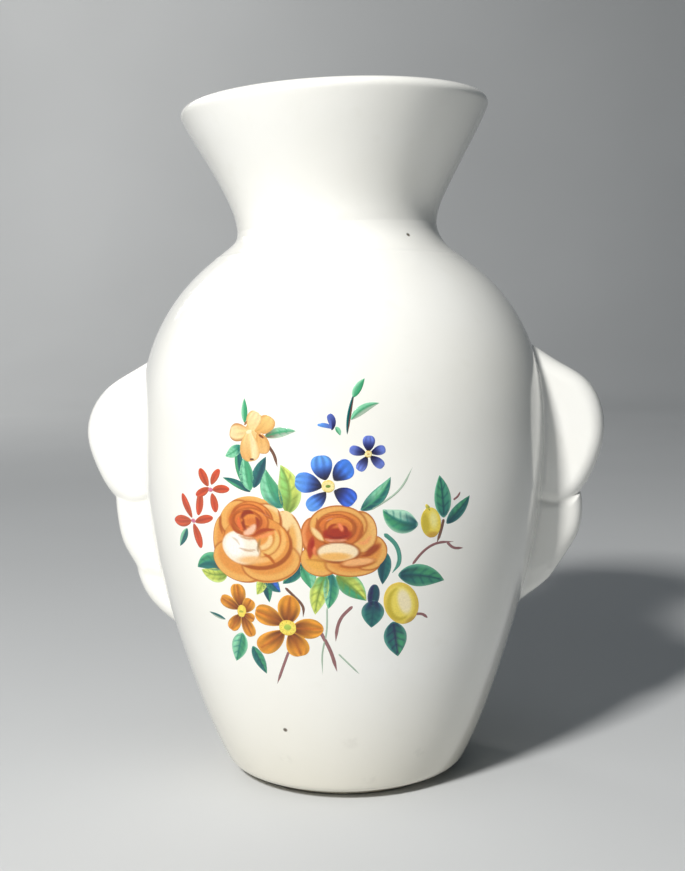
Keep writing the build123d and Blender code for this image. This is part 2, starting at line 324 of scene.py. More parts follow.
def glaze_material():
    """White glaze: warmer low on the body, faint clouding, soft ripple, a few kiln specks."""
    n = Nodes("white_glaze")
    cloud = n.noise(14, 4, 0.55)
    tone = n.ramp(cloud, (0.30, srgb(243, 241, 232)), (0.62, srgb(250, 249, 244)))
    flecks = n.ramp(n.noise(190, 2, 0.6), (0.62, 0.0), (0.78, 1.0))
    tone = n.mix(n.times(flecks, 0.10), tone, srgb(226, 222, 208))
    split = n.add("ShaderNodeSeparateXYZ")
    n.link(n.place, split.inputs[0])
    tone = n.mix(n.fade(split.outputs["Z"], 1, 36, 0.75), tone, srgb(232, 226, 208))
    # two dark kiln specks, and faint grey marks low on the front
    for x, z in ((17.8, 132.4), (-11.6, 19.1)):
        tone = n.mix(n.spot(on_wall(x, z), 0.75), tone, srgb(104, 94, 82))
    for x, z, size in ((-12.0, 11.0, 2.2), (3.5, 16.6, 2.6), (19.0, 11.5, 2.4), (8.0, 6.5, 3.0)):
        worn = n.ramp(n.noise(520, 2), (0.45, 0.0), (0.6, 0.14))
        tone = n.mix(n.times(n.spot(on_wall(x, z), size), worn), tone, srgb(196, 192, 182))
    n.link(tone, n.shader.inputs["Base Color"])
    n.link(n.ramp(n.noise(60, 3), (0.35, 0.10), (0.7, 0.17)), n.shader.inputs["Roughness"])
    ripple = n.bump(n.noise(75, 2, 0.4), 0.06)
    pits = n.ramp(n.noise(900, 1, 0.3), (0.20, 0.0), (0.30, 1.0))
    n.link(n.bump(pits, 0.012, under=ripple), n.shader.inputs["Normal"])
    n.set(IOR=1.52, Coat_Weight=0.35, Coat_Roughness=0.05, Specular_IOR_Level=0.5)
    return n.material


def clay_material():
    """Bare fired clay of the foot: cream, gritty and a little worn."""
    n = Nodes("bare_clay")
    tone = n.ramp(n.noise(160, 5, 0.65), (0.30, srgb(196, 184, 160)), (0.50, srgb(222, 213, 194)),
                  (0.75, srgb(232, 226, 210)))
    grit = n.ramp(n.noise(1400, 3, 0.7), (0.34, 0.6), (0.40, 0.0))
    tone = n.mix(grit, tone, srgb(140, 122, 98))
    n.link(tone, n.shader.inputs["Base Color"])
    n.link(n.ramp(n.noise(300, 3), (0.3, 0.75), (0.7, 0.95)), n.shader.inputs["Roughness"])
    n.link(n.bump(n.noise(1100, 4, 0.7), 0.10), n.shader.inputs["Normal"])
    return n.material


def enamel_material():
    """Fired transfer colours: painted in the mesh, with a fine litho grain and a glassy skin."""
    n = Nodes("fired_enamel")
    paint = n.add("ShaderNodeAttribute", attribute_name="enamel").outputs["Color"]
    grain = n.ramp(n.noise(2600, 2, 0.6), (0.30, 0.84), (0.70, 0.98))
    n.link(n.mix(1.0, paint, grain, "MULTIPLY"), n.shader.inputs["Base Color"])
    n.link(n.ramp(n.noise(420, 3), (0.3, 0.16), (0.7, 0.26)), n.shader.inputs["Roughness"])
    n.link(n.bump(n.noise(1500, 2, 0.5), 0.010), n.shader.inputs["Normal"])
    n.set(IOR=1.5, Coat_Weight=0.3, Coat_Roughness=0.08)
    return n.material


glaze = glaze_material()
clay = clay_material()
enamel = enamel_material()


# ---------------- body, neck and foot
def lean(verts, share):
    """Tips points, by a share of the lean, about the middle of the waist, and sets the waist off axis."""
    x, z = verts[..., 0].copy(), verts[..., 2] - WAIST_Z
    verts[..., 0] += (x * (math.cos(LEAN) - 1) - z * math.sin(LEAN)) * share
    verts[..., 2] += (x * math.sin(LEAN) + z * (math.cos(LEAN) - 1)) * share
    verts[..., 0] += drift(verts[..., 2])
    return verts


def lean_body(verts):
    """Only the body's top rings tip over into the plane where the neck sits."""
    share = np.clip((verts[..., 2] - (WAIST_Z - TIPPED)) / TIPPED, 0, 1)
    return lean(verts, share * share * (3 - 2 * share))


# every fourth point of the outer wall is kept, and all of them across the shoulder line
outer = evenly(body_curve, 0.25)
off_line = (outer[:, 1] - SHOULDER_LINE_Z) / SHOULDER_LINE_SPREAD
outer = beside(outer, SHOULDER_LINE_HEIGHT * np.exp(-off_line ** 2)[:, None])
outer = outer[(np.arange(len(outer)) % 4 == 0) | (np.abs(outer[:, 1] - SHOULDER_LINE_Z) < 1.2)]
outer[-1] = WAIST_RADIUS, WAIST_Z
inner = beside(body_curve, -WALL)
inner = evenly(inner[inner[:, 1] > BASIN_TOP], 1.6)[::-1]
floor_edge = (inner[-1][0] - BASIN_ROUND, FLOOR_TOP)
basin = smooth_line([inner[-1], floor_edge], inner[-1] - inner[-2], (-1, 0), 14)
heel_round = HEEL[1] - RING_TOP
heel_round = (heel_round ** 2 + (HEEL[0] - HEEL_INNER) ** 2) / (2 * heel_round)
heel_end = math.degrees(math.atan2(HEEL[1] - RING_TOP - heel_round, HEEL[0] - HEEL_INNER))
heel = arc((HEEL_INNER, RING_TOP + heel_round), heel_round, -90, heel_end, 10)[:-1]
underside = np.array([(0.0, UNDERSIDE), (RING_INNER - 1.0, UNDERSIDE), (RING_INNER, RING_TOP + 0.3),
                      (RING_INNER, RING_TOP)])
# body and neck walls each run on a little inside the other, so that the joint stays smooth
collar = np.array([(WAIST_RADIUS - 0.06, 0.9), (WAIST_RADIUS - 0.3, 1.9)])
collar_inner = collar[::-1] * (-1, 1) + (2 * WAIST_RADIUS - WALL, 0)
body_outline = np.vstack([
    underside, [(RING_OUTER, RING_TOP)], heel, outer, collar + (0, WAIST_Z), collar_inner + (0, WAIST_Z),
    inner, basin[1:], [(0.0, FLOOR_TOP)],
])
vase_body = lathe("vase_body_glazed", body_outline, lean_body)
hand_over(vase_body, glaze, "glaze", "vase_body")

flare = evenly(flare_curve, 0.8)
flare_inner = beside(flare, -WALL)
lip_centre = (flare[-1] + flare_inner[-1]) / 2
lip_start = math.degrees(math.atan2(*(flare[-1] - lip_centre)[::-1]))
lip = arc(lip_centre, WALL / 2, lip_start, lip_start + 180, 17)[1:-1]
neck_outline = np.vstack([
    collar[::-1] * (1, -1), flare, lip, flare_inner[::-1], collar_inner[::-1] * (1, -1),
]) + (0, WAIST_Z)
flared_neck = lathe("flared_neck_glazed", neck_outline, lambda verts: lean(verts, 1.0))
hand_over(flared_neck, glaze, "glaze", "flared_neck")

ring_outline = np.vstack([
    [(RING_INNER, RING_TOP), (RING_INNER, RING_ROUND)],
    arc((RING_INNER + RING_ROUND, RING_ROUND), RING_ROUND, 190, 260, 5),
    [(RING_INNER + RING_ROUND, 0.0)], bow((RING_OUTER - RING_BEVEL, 0.0), (RING_OUTER, RING_TOP), -0.3, 7),
])
foot_ring = lathe("foot_ring_bare", ring_outline)
hand_over(foot_ring, clay, "bare_clay", "foot_ring")


# ---------------- handles
def lobe(thickness, edge, root, start, end, *points):
    """One lobe: half thickness, how far its rim is rounded, its root in the wall, and its free outline."""
    return dict(thickness=thickness, edge=edge, root=root, line=smooth_line(points, start, end))


# The outlines are a thinned, partly shifted selection of points that a scratch script measured in the photo.
UPPER_ROOT, LOWER_ROOT, SMALL_ROOT = (
    ((38.0, 73.6), (38.0, 112.2)), ((38.0, 44.0), (38.0, 69.5)), ((38.0, 33.0), (38.0, 52.5)))
RIGHT_LOBES = (
    lobe(4.5, 4.2, UPPER_ROOT, (0.85, -0.53), (-0.8, 0.5), (47.5, 106.4), (53.7, 102.3), (61.2, 97.3),
         (65.4, 86.0), (63.2, 76.0), (59.2, 69.2), (53.8, 65.8), (47.5, 67.6)),
    lobe(4.0, 3.8, LOWER_ROOT, (0.3, -1), (-0.62, -0.78), (59.6, 69.5), (60.1, 64.8), (59.2, 59.5),
         (56.4, 54.4), (52.6, 48.8)),
    lobe(3.4, 3.4, SMALL_ROOT, (-0.1, -1), (-0.75, -0.66), (54.2, 52.5), (53.2, 49.5), (51.1, 46.9),
         (47.9, 44.3), (42.9, 40.4)),
)
LEFT_LOBES = (
    lobe(4.5, 4.2, UPPER_ROOT, (0.85, -0.53), (-0.8, 0.5), (47.0, 104.4), (52.9, 100.9), (60.5, 95.9),
         (65.35, 86.0), (62.9, 75.5), (58.7, 68.6), (53.5, 65.6), (47.5, 67.6)),
    lobe(4.0, 3.8, LOWER_ROOT, (0.0, -1), (-0.62, -0.78), (58.6, 69.5), (58.1, 62.3), (57.0, 57.0),
         (54.5, 52.0), (52.0, 48.2)),
    lobe(3.4, 3.4, SMALL_ROOT, (-0.1, -1), (-0.8, -0.6), (53.9, 52.5), (53.4, 49.2), (51.5, 43.9),
         (47.4, 38.7), (42.8, 35.0)),
)
HANDLE_SPAN = (34.4, 108.4)
HANDLE_ROWS = 270
ROOT_DEPTH = 2.2            # how far a handle's root is buried in the body's wall
CREASE_SOFTNESS = 0.35      # glaze filling between the lobes
JOINT_FILLET = 1.1          # rounding along the joint with the body
COARSE_ROOT, FINE_JOINT = 2.0, 2.4      # widths of the coarse mesh in the wall and the fine mesh after it
CROWN, CROWN_DEPTH = 0.06, 9.0          # how much a lobe's face swells, and how far in from its rim


def inside_distance(points, outline):
    """Distance from points to a closed outline, positive inside it."""
    a, b = outline, np.roll(outline, -1, 0)
    ab = b - a
    rel = points[:, None, :] - a[None]
    share = np.clip((rel * ab).sum(-1) / np.maximum((ab * ab).sum(-1), 1e-9), 0, 1)
    gap = np.linalg.norm(rel - share[..., None] * ab, axis=-1).min(1)
    x, z = points[:, 0:1], points[:, 1:2]
    crosses = ((a[:, 1] > z) != (b[:, 1] > z)) & (
        x < a[:, 0] + (z - a[:, 1]) * ab[:, 0] / np.where(ab[:, 1] == 0, 1e-9, ab[:, 1])
    )
    return np.where(crosses.sum(1) % 2 == 1, gap, -gap)


def lobe_height(points, lobe):
    """Half thickness of a lobe: a rounded rim that runs into a slightly crowned face."""
    outline = np.vstack([lobe["line"][::4], lobe["root"]])
    deep = np.maximum(inside_distance(points, outline), 0)
    rim = np.clip(deep / lobe["edge"], 0, 1)
    crown = 1 + CROWN * np.clip(deep / CROWN_DEPTH, 0, 1)
    return lobe["thickness"] * np.sqrt(1 - (1 - rim) ** 2.0) * crown


def handle_reach(z, lobes):
    """How far the outline of the joined lobes stands out at a height."""
    reach = 0.0
    for lobe in lobes:
        line = np.vstack([lobe["root"][1], lobe["line"], lobe["root"][0]])
        for (x0, z0), (x1, z1) in zip(line[:-1], line[1:]):
            if (z0 - z) * (z1 - z) <= 0 and z0 != z1:
                reach = max(reach, x0 + (x1 - x0) * (z - z0) / (z1 - z0))
    return reach


def handle(name, side, lobes, node):
    """One ear handle as a closed skin, its root buried in the body's wall."""
    rows = []
    for z in np.linspace(*HANDLE_SPAN, HANDLE_ROWS):
        x_in = float(wall_radius(z)) - ROOT_DEPTH
        x_out = handle_reach(z, lobes)
        if x_out > x_in + 0.02:
            at_wall = min(x_in + COARSE_ROOT, x_out)
            past_wall = min(at_wall + FINE_JOINT, x_out)
            swing = np.sin(np.linspace(0, math.pi / 2, 35))
            x = np.r_[
                np.linspace(x_in, at_wall, 4)[:-1],
                np.linspace(at_wall, past_wall, 13)[:-1],
                past_wall + (x_out - past_wall) * swing,
            ]
            rows.append(np.c_[x, np.full(len(x), z)])
    grid = np.array(rows)
    count, width = grid.shape[:2]
    flat = grid.reshape(-1, 2)
    heights_of = np.array([lobe_height(flat, lobe) for lobe in lobes])
    top = heights_of.max(0)
    soft = CREASE_SOFTNESS * np.log(np.exp((heights_of - top) / CREASE_SOFTNESS).sum(0))
    half = (top + np.where(top > 0.6, soft, soft * top / 0.6)).reshape(count, width)
    half[:, -1] = 0.0
    off_wall = np.hypot(grid[..., 0], half) - wall_radius(grid[..., 1])
    inside = np.clip(1 - off_wall / JOINT_FILLET, 0, 1.5)
    fillet = 0.8 * JOINT_FILLET * inside ** 2
    half = half + fillet * np.clip(half / 1.5, 0, 1)
    front = np.stack([grid[..., 0] * side, -half, grid[..., 1]], -1).reshape(-1, 3)
    back = front * (1, -1, 1)
    faces = []
    offset = count * width
    for i in range(count - 1):
        for j in range(width - 1):
            quad = (i * width + j, i * width + j + 1, (i + 1) * width + j + 1, (i + 1) * width + j)
            faces.append(quad)
            faces.append(tuple(k + offset for k in quad[::-1]))
        edge = i * width
        faces.append((edge, edge + width, edge + width + offset, edge + offset))
    for i in (0, count - 1):
        for j in range(width - 1):
            a = i * width + j
            faces.append((a, a + 1, a + 1 + offset, a + offset))
    return hand_over(add_mesh(name, np.vstack([front, back]), faces), glaze, "glaze", node)


handle("left_handle_glazed", -1, LEFT_LOBES, "left_handle")
handle("right_handle_glazed", 1, RIGHT_LOBES, "right_handle")


# ---------------- fired transfer
# Every petal, leaf and stem is a closed patch of enamel, painted by its own coordinates: t runs from its
# base to its tip and s from -1 on its left edge to 1 on its right.
def through(*points):
    """A smooth brush line through points."""
    p = np.array(points, float)
    return evenly(smooth_line(p, p[1] - p[0], p[-1] - p[-2], 12), 0.35)


def form(lower, upper):
    """A width along t that grows as t^lower from the base and closes as (1-t)^upper at the tip."""
    widest = lower / (lower + upper)
    largest = widest ** lower * (1 - widest) ** upper
    return lambda t: t ** lower * (1 - t) ** upper / largest


OVAL, PETAL, LEAF, LANCE = form(0.5, 0.5), form(0.75, 0.42), form(0.75, 1.0), form(0.7, 0.6)


def brush(t):
    """The width of a stem's stroke: nearly full from its base, drawn out towards its tip."""
    return np.minimum(1, np.minimum(t / 0.06 + 0.15, (1 - t) / 0.25 + 0.08)) * (t < 1) * (t > 0)


def paint(base, tip=None, left=None, right=None, rim=None, vein=None, foot=None, reach=0.33, streak=0.05,
          ribs=0):
    """Screen colours over a patch: base to tip, with tints on either side, at the rim, down the
    middle, along a number of side ribs and up from the foot."""
    def colour(t, s, seed):
        t, s = np.broadcast_arrays(t, s)

        def blend(c, other, share):
            return c + (np.array(other, float) - c) * np.clip(share, 0, 1)[..., None]

        c = np.broadcast_to(np.array(base, float), t.shape + (3,))
        if tip:
            c = blend(c, tip, t * t * (3 - 2 * t))
        if left:
            c = blend(c, left, (-s - 0.02) * 5)
        if right:
            c = blend(c, right, (s - 0.02) * 5)
        if foot:
            c = blend(c, foot, 1.15 - t / reach)
        if ribs:
            off_rib = np.abs((t * ribs - 0.9 * np.abs(s) + 0.3) % 1 - 0.5)
            c = blend(c, vein, 0.55 * np.exp(-(off_rib / 0.13) ** 2) * (np.abs(s) < 0.85))
        if vein:
            c = blend(c, vein, 0.85 * np.exp(-(s / 0.13) ** 2) * (t < 0.93))
        if rim:
            c = blend(c, rim, (np.maximum(np.abs(s), np.abs(2 * t - 1) ** 3) - 0.62) / 0.32 * 0.85)
        wave = np.sin(s * 9.3 + seed * 2.1 + np.sin(t * 4 + seed))
        grain = wave * (0.6 + 0.4 * np.sin(t * 7.1 + seed * 1.3))
        return np.clip(c * (1 + streak * grain[..., None]), 0, 255)
    return colour


class Wash:
    """Soft brush marks over a ground colour, in the order they are made; later ones lie on top."""

    def __init__(self, ground):
        self.ground, self.marks = np.array(ground, float), []

    def spot(self, x, z, wide, tall, colour, soft=0.8, turn=0.0, strength=1.0):
        """A filled oval of half width and half height, its edge fading over soft millimetres."""
        turn = math.radians(turn)

        def cover(p):
            u = (p[..., 0] - x) * math.cos(turn) + (p[..., 1] - z) * math.sin(turn)
            v = (p[..., 1] - z) * math.cos(turn) - (p[..., 0] - x) * math.sin(turn)
            return (1 - np.hypot(u / wide, v / tall)) * min(wide, tall) / soft + 0.5

        self.marks.append((cover, np.array(colour, float), strength))

    def petal(self, x, z, wide, tall, turn, tone, rim, shade, heart):
        """A petal seen from its face: a dark line round it, a light lip, and deeper colour towards the
        heart of the flower."""
        pull = np.array(heart, float) - (x, z)
        pull *= 0.3 * min(wide, tall) / max(np.hypot(*pull), 1e-6)
        self.spot(x, z, wide + 0.32, tall + 0.32, shade, 0.5, turn, 0.9)
        self.spot(x, z, wide, tall, rim, 0.35, turn)
        self.spot(x + pull[0] * 0.6, z + pull[1] * 0.6, wide * 0.86, tall * 0.84, tone, 0.9, turn)
        deep = (np.array(tone) * 0.6 + np.array(shade) * 0.4).tolist()
        self.spot(x + 1.5 * pull[0], z + 1.5 * pull[1], wide * 0.55, tall * 0.5, deep, 1.6, turn, 0.7)

    def stroke(self, line, width, colour, soft=0.45, strength=1.0):
        """A brush line, widest in its middle and tapered to both ends."""
        a, b = line[:-1], line[1:]
        ab = b - a
        size = (ab * ab).sum(-1)
        share = np.linspace(0, 1, len(a))
        half = width / 2 * np.sin(math.pi * (0.04 + 0.92 * share)) ** 0.6

        def cover(p):
            rel = p[..., None, :] - a
            t = np.clip((rel * ab).sum(-1) / size, 0, 1)
            gap = np.linalg.norm(rel - t[..., None] * ab, axis=-1)
            return ((half - gap) / soft + 0.5).max(-1)

        self.marks.append((cover, np.array(colour, float), strength))

    def lines(self, *rows):
        """Brush lines: the width, colour, softness and strength of each, then the points it runs through."""
        for width, colour, soft, strength, *points in rows:
            self.stroke(through(*points), width, colour, soft, strength)

    def at(self, points):
        """The screen colour at each point."""
        c = np.broadcast_to(self.ground, points.shape[:-1] + (3,)).copy()
        for cover, colour, strength in self.marks:
            k = np.clip(cover(points), 0, 1)
            c += (colour - c) * (k * k * (3 - 2 * k) * strength)[..., None]
        return c


class Motif:
    """The patches of one motif, laid one over another in the order that they are added."""

    def __init__(self):
        self.verts, self.faces, self.colours = [], [], []
        self.layer, self.count = 0, 0

    def lay(self, spine, width, shape, colours, lift=0):
        """One patch: width in millimetres at its widest, along a spine of points. Its colours are a
        paint, or a Wash that several patches share."""
        step = np.gradient(spine, axis=0)
        step /= np.linalg.norm(step, axis=1)[:, None]
        left = np.c_[-step[:, 1], step[:, 0]]
        length = np.linalg.norm(np.diff(spine, axis=0), axis=1).sum()
        grid = FINE_GRID if isinstance(colours, Wash) or width > NARROW else COARSE_GRID
        rows = int(np.clip(length / grid, 10, 100))
        cols = 2 * int(np.clip(width / grid / 2, 3, 50)) + 1
        old = np.linspace(0, 1, len(spine))
        t = 0.5 - 0.5 * np.cos(np.linspace(0, math.pi, rows))
        t = 0.5 * t + 0.5 * np.linspace(0, 1, rows)
        s = np.sin(np.linspace(-math.pi / 2, math.pi / 2, cols))
        centre = np.c_[np.interp(t, old, spine[:, 0]), np.interp(t, old, spine[:, 1])]
        side = np.c_[np.interp(t, old, left[:, 0]), np.interp(t, old, left[:, 1])]
        half = width / 2 * shape(t)
        flat = centre[:, None] - side[:, None] * (half[:, None] * s)[..., None]
        self.count += 1
        top = FILM + FILM_STEP * (self.layer + lift)
        depth = np.minimum(half[:, None] * (1 - np.abs(s)), FILM_EDGE) / FILM_EDGE
        height = -SUNK + (top + SUNK) * np.sqrt(np.clip(depth, 0, 1))
        upper = on_wall(flat[..., 0], flat[..., 1], height)
        lower = on_wall(flat[..., 0], flat[..., 1], np.full(height.shape, -SUNK))
        start = sum(len(v) for v in self.verts)
        size = rows * cols
        for i in range(rows - 1):
            for j in range(cols - 1):
                a = start + i * cols + j
                quad = (a, a + 1, a + cols + 1, a + cols)
                self.faces.append(quad)
                self.faces.append(tuple(k + size for k in quad[::-1]))
        if isinstance(colours, Wash):
            colour = srgb(colours.at(flat))
        else:
            colour = srgb(colours(t[:, None], s[None, :], self.count * 1.7))
        for points in (upper, lower):
            self.verts.append(points.reshape(-1, 3))
            self.colours.append(colour.reshape(-1, 3))

    def oval(self, x, z, length, width, turn, colours, lift=0):
        """An oval patch about a centre, its long axis turned from the horizontal in degrees."""
        reach = np.array((math.cos(math.radians(turn)), math.sin(math.radians(turn)))) * length / 2
        self.lay(bow(np.array((x, z)) - reach, np.array((x, z)) + reach), width, OVAL, colours, lift)

    def over(self):
        """What follows is painted over what is there."""
        self.layer += 1
        return self

    def petals(self, shape, colours, *rows):
        """Petals of one form and paint, each over the one before: base, tip, width and any bend."""
        for base, tip, width, *bend in rows:
            self.lay(bow(base, tip, *bend), width, shape, colours)
            self.over()

    def finish(self, node, slot):
        """Builds the motif as one painted mesh, in place of its CAD node."""
        verts, colours = np.vstack(self.verts), np.vstack(self.colours)
        piece = add_mesh("transfer_" + node, verts, self.faces, colours, 2e-7)
        return hand_over(piece, enamel, slot, node)


# screen colours of the transfer
MINT, GREEN, TEAL, DARK_TEAL, LIME, OLIVE = (
    (140, 214, 172), (66, 160, 112), (30, 112, 108), (16, 74, 88), (214, 226, 104), (120, 150, 60))
SKY, BLUE, INDIGO, NAVY = (96, 160, 240), (52, 104, 214), (48, 66, 170), (30, 32, 84)
RED, BRICK, AMBER, GOLD = (226, 86, 50), (196, 88, 52), (226, 146, 40), (240, 186, 72)
YELLOW, LEMON, STRAW = (246, 222, 96), (240, 218, 86), (250, 236, 170)
MAUVE, UMBER, SAGE = (150, 104, 104), (118, 82, 66), (176, 198, 176)
APRICOT, TAN, STAMEN = (250, 226, 172), (232, 176, 104), (214, 120, 150)
DUSK, VIOLET = (40, 34, 78), (92, 112, 190)


# --- stems, under everything
stems = Motif()
for points, width, colour in (
    (((-14.0, 88.1), (-12.6, 86.2), (-11.4, 84.4), (-10.6, 81.6)), 0.75, UMBER),
    (((9.1, 72.2), (12.5, 74.2), (16.0, 77.2), (18.3, 81.3)), 0.5, SAGE),
    (((27.0, 73.4), (28.0, 74.1), (28.6, 75.2)), 0.5, MAUVE),
    (((24.9, 69.4), (24.3, 66.8), (23.4, 64.1)), 0.7, UMBER),
    (((18.0, 59.6), (20.0, 62.0), (23.4, 64.0), (27.2, 64.0)), 0.65, MAUVE),
    (((25.6, 64.0), (27.0, 62.6), (29.3, 62.2)), 0.65, MAUVE),
    (((12.0, 67.0), (14.2, 64.8), (15.2, 62.2), (15.0, 59.9), (13.6, 57.9)), 1.0, (74, 150, 132)),
    (((18.6, 48.0), (20.2, 47.7), (21.3, 46.6)), 0.7, MAUVE),
    (((5.0, 50.7), (2.6, 48.2), (1.4, 45.2), (1.0, 42.2)), 0.8, MAUVE),
    (((-0.6, 50.6), (-1.0, 44.2), (-2.0, 39.6), (-2.2, 33.8)), 0.45, SAGE),
    (((-2.3, 44.6), (-0.2, 39.9), (1.1, 34.8)), 0.9, MAUVE),
    (((1.5, 39.3), (3.8, 36.7), (6.1, 34.1)), 0.45, SAGE),
    (((-9.6, 39.6), (-11.2, 35.4), (-12.8, 31.0)), 0.7, MAUVE),
    (((-9.8, 54.8), (-7.6, 52.6), (-5.9, 50.2), (-6.0, 47.9)), 0.7, UMBER),
):
    stems.lay(through(*points), width, brush, paint(colour, streak=0.12))
stems.finish("stems", "stem_enamel")

# --- leaves
leaves = Motif()


def leaf(base, tip, width, left, right, bend=0.0, vein=DARK_TEAL, foot=None, shape=LEAF):
    """A leaf painted in two tones, one each side of its vein."""
    ribs = 5 if width > 2.2 else 0
    pale_edge = tuple((np.array(right) * 0.62 + np.array((200, 240, 206)) * 0.38).tolist())
    colours = paint(left, left=left, right=right, rim=pale_edge if ribs else None, vein=vein, foot=foot,
                    reach=0.42, streak=0.1, ribs=ribs)
    leaves.lay(bow(base, tip, bend), width, shape, colours)


leaf((-17.9, 91.0), (-17.9, 96.4), 1.5, MINT, GREEN, vein=GREEN)
leaf((-13.4, 88.1), (-6.4, 89.4), 2.3, MINT, SAGE, 0.4, vein=GREEN, foot=UMBER)
leaf((-18.8, 86.2), (-22.6, 83.6), 2.6, MINT, MINT, 0.3, vein=GREEN, foot=TEAL)
leaf((-19.4, 86.0), (-18.4, 77.2), 2.0, TEAL, GREEN, -0.4)
leaf((-16.9, 76.2), (-18.0, 84.0), 3.4, MINT, GREEN, 0.3, vein=GREEN)
leaf((-16.1, 76.9), (-13.1, 83.9), 2.7, TEAL, DARK_TEAL, 0.2, vein=DARK_TEAL)
leaf((-16.8, 76.0), (-23.4, 78.9), 1.8, GREEN, TEAL, -0.3, foot=DARK_TEAL)
leaf((-9.6, 72.8), (-13.2, 81.2), 4.4, MINT, GREEN, 1.1, vein=GREEN, foot=TEAL)
leaf((-8.7, 71.5), (-10.0, 82.2), 5.2, (150, 210, 110), LIME, -1.2, vein=OLIVE, foot=OLIVE)
leaf((4.5, 88.6), (6.2, 98.0), 0.95, TEAL, UMBER, 0.3)
leaf((5.8, 96.4), (8.3, 100.5), 1.8, MINT, GREEN, 0.2, vein=GREEN)
leaf((5.3, 91.7), (11.4, 95.2), 2.0, MINT, SAGE, 0.7, vein=GREEN)
leaf((7.1, 72.3), (13.6, 79.4), 3.3, MINT, TEAL, -0.8, vein=GREEN, foot=DARK_TEAL)
leaf((19.4, 68.6), (11.8, 72.4), 5.2, GREEN, (178, 228, 200), 0.9, vein=TEAL, foot=DARK_TEAL)
leaf((24.9, 69.6), (24.0, 79.2), 3.7, GREEN, (70, 158, 128), -0.2, foot=TEAL)
leaf((25.5, 68.2), (30.7, 74.1), 2.8, GREEN, TEAL, -0.2, foot=DARK_TEAL)
leaf((14.9, 57.4), (25.0, 55.2), 5.2, GREEN, (52, 140, 110), 0.6, foot=DARK_TEAL)
leaf((12.4, 62.8), (11.5, 55.4), 3.0, TEAL, DARK_TEAL)
leaf((9.9, 55.6), (9.2, 50.4), 2.7, DARK_TEAL, NAVY, shape=OVAL)
leaf((9.6, 52.0), (8.9, 45.4), 5.0, TEAL, TEAL, foot=NAVY)
leaf((13.7, 46.6), (14.6, 38.0), 5.1, GREEN, TEAL, vein=NAVY, foot=DARK_TEAL)
leaf((-0.6, 58.2), (-3.3, 48.6), 4.2, LIME, LIME, -0.4, vein=OLIVE, foot=GREEN)
leaf((0.4, 58.4), (-0.4, 50.0), 3.7, GREEN, MINT, 0.3, vein=TEAL, foot=TEAL)
leaf((1.6, 58.0), (8.0, 51.8), 4.8, LIME, GREEN, 0.3, vein=OLIVE, foot=OLIVE)
leaf((-5.7, 60.8), (-4.0, 54.6), 3.6, MINT, GREEN, 0.4, vein=GREEN)
leaf((-5.9, 60.6), (-10.3, 55.6), 3.2, TEAL, GREEN, 0.3, foot=DARK_TEAL)
leaf((-14.3, 57.8), (-16.4, 52.6), 2.7, LIME, LIME, 0.3, vein=OLIVE, foot=OLIVE)
leaf((-14.0, 57.6), (-10.8, 53.6), 3.2, BLUE, TEAL, -0.3, foot=DARK_TEAL)
leaf((-14.2, 57.8), (-13.5, 51.0), 2.5, GREEN, DARK_TEAL, foot=DARK_TEAL)
leaf((-23.0, 58.6), (-30.9, 57.3), 4.6, TEAL, GREEN, -1.3, vein=TEAL, foot=UMBER)
leaf((-23.2, 57.0), (-29.9, 57.0), 3.7, LIME, LIME, 0.8, vein=OLIVE, foot=OLIVE)
leaf((-33.0, 66.3), (-35.5, 61.5), 1.9, TEAL, MINT)
leaf((-24.4, 45.6), (-28.7, 46.8), 1.1, SAGE, TEAL)
leaf((-20.4, 43.0), (-22.5, 35.4), 3.9, GREEN, MINT, vein=TEAL)
leaf((-18.1, 40.0), (-15.1, 33.3), 2.8, GREEN, TEAL)
leaves.finish("leaves", "green_enamel")

# --- blue flowers
blue_large = Motif()
for tone, far, *petal in (
    (BLUE, SKY, (-0.1, 78.9), (-1.3, 84.3), 4.7, 0.2),
    (BLUE, (64, 128, 226), (1.6, 78.8), (5.5, 82.2), 4.5, 0.3),
    (BLUE, SKY, (-1.0, 77.4), (-6.9, 78.7), 4.5, -0.2),
    (INDIGO, BLUE, (1.5, 76.6), (5.9, 74.0), 4.1, 0.2),
    (BLUE, SKY, (-0.2, 76.4), (-4.4, 72.9), 3.3, 0.3),
):
    blue_large.petals(PETAL, paint(tone, tip=far, foot=(16, 18, 52), reach=0.5, streak=0.16), petal)
blue_large.oval(0.3, 77.6, 2.9, 2.8, 0, paint((252, 234, 160), rim=(240, 206, 96)))
blue_large.over()
for k, (x, z) in enumerate(arc((0.3, 77.6), 1.05, 0, 315, 8)):
    blue_large.oval(x, z, 0.5, 0.36, 45 * k, paint(GOLD))
blue_large.oval(0.3, 77.6, 1.2, 1.1, 0, paint(OLIVE, rim=GOLD))
blue_large.finish("blue_flower_large", "blue_enamel")

blue_small = Motif()
blue_small.petals(
    PETAL, paint((70, 84, 176), tip=(112, 134, 216), foot=(24, 22, 54), reach=0.62, streak=0.14),
    ((9.0, 84.9), (9.1, 88.4), 2.7), ((9.4, 84.6), (12.6, 85.5), 2.2),
    ((9.3, 84.0), (12.1, 81.5), 2.2), ((8.7, 83.9), (6.8, 80.8), 2.3),
    ((8.5, 84.5), (4.9, 85.6), 2.2),
)
blue_small.oval(8.9, 84.4, 1.7, 1.6, 0, paint(STRAW, rim=GOLD))
blue_small.over()
blue_small.oval(8.9, 84.4, 0.7, 0.6, 0, paint(TAN))
blue_small.finish("blue_flower_small", "violet_blue_enamel")

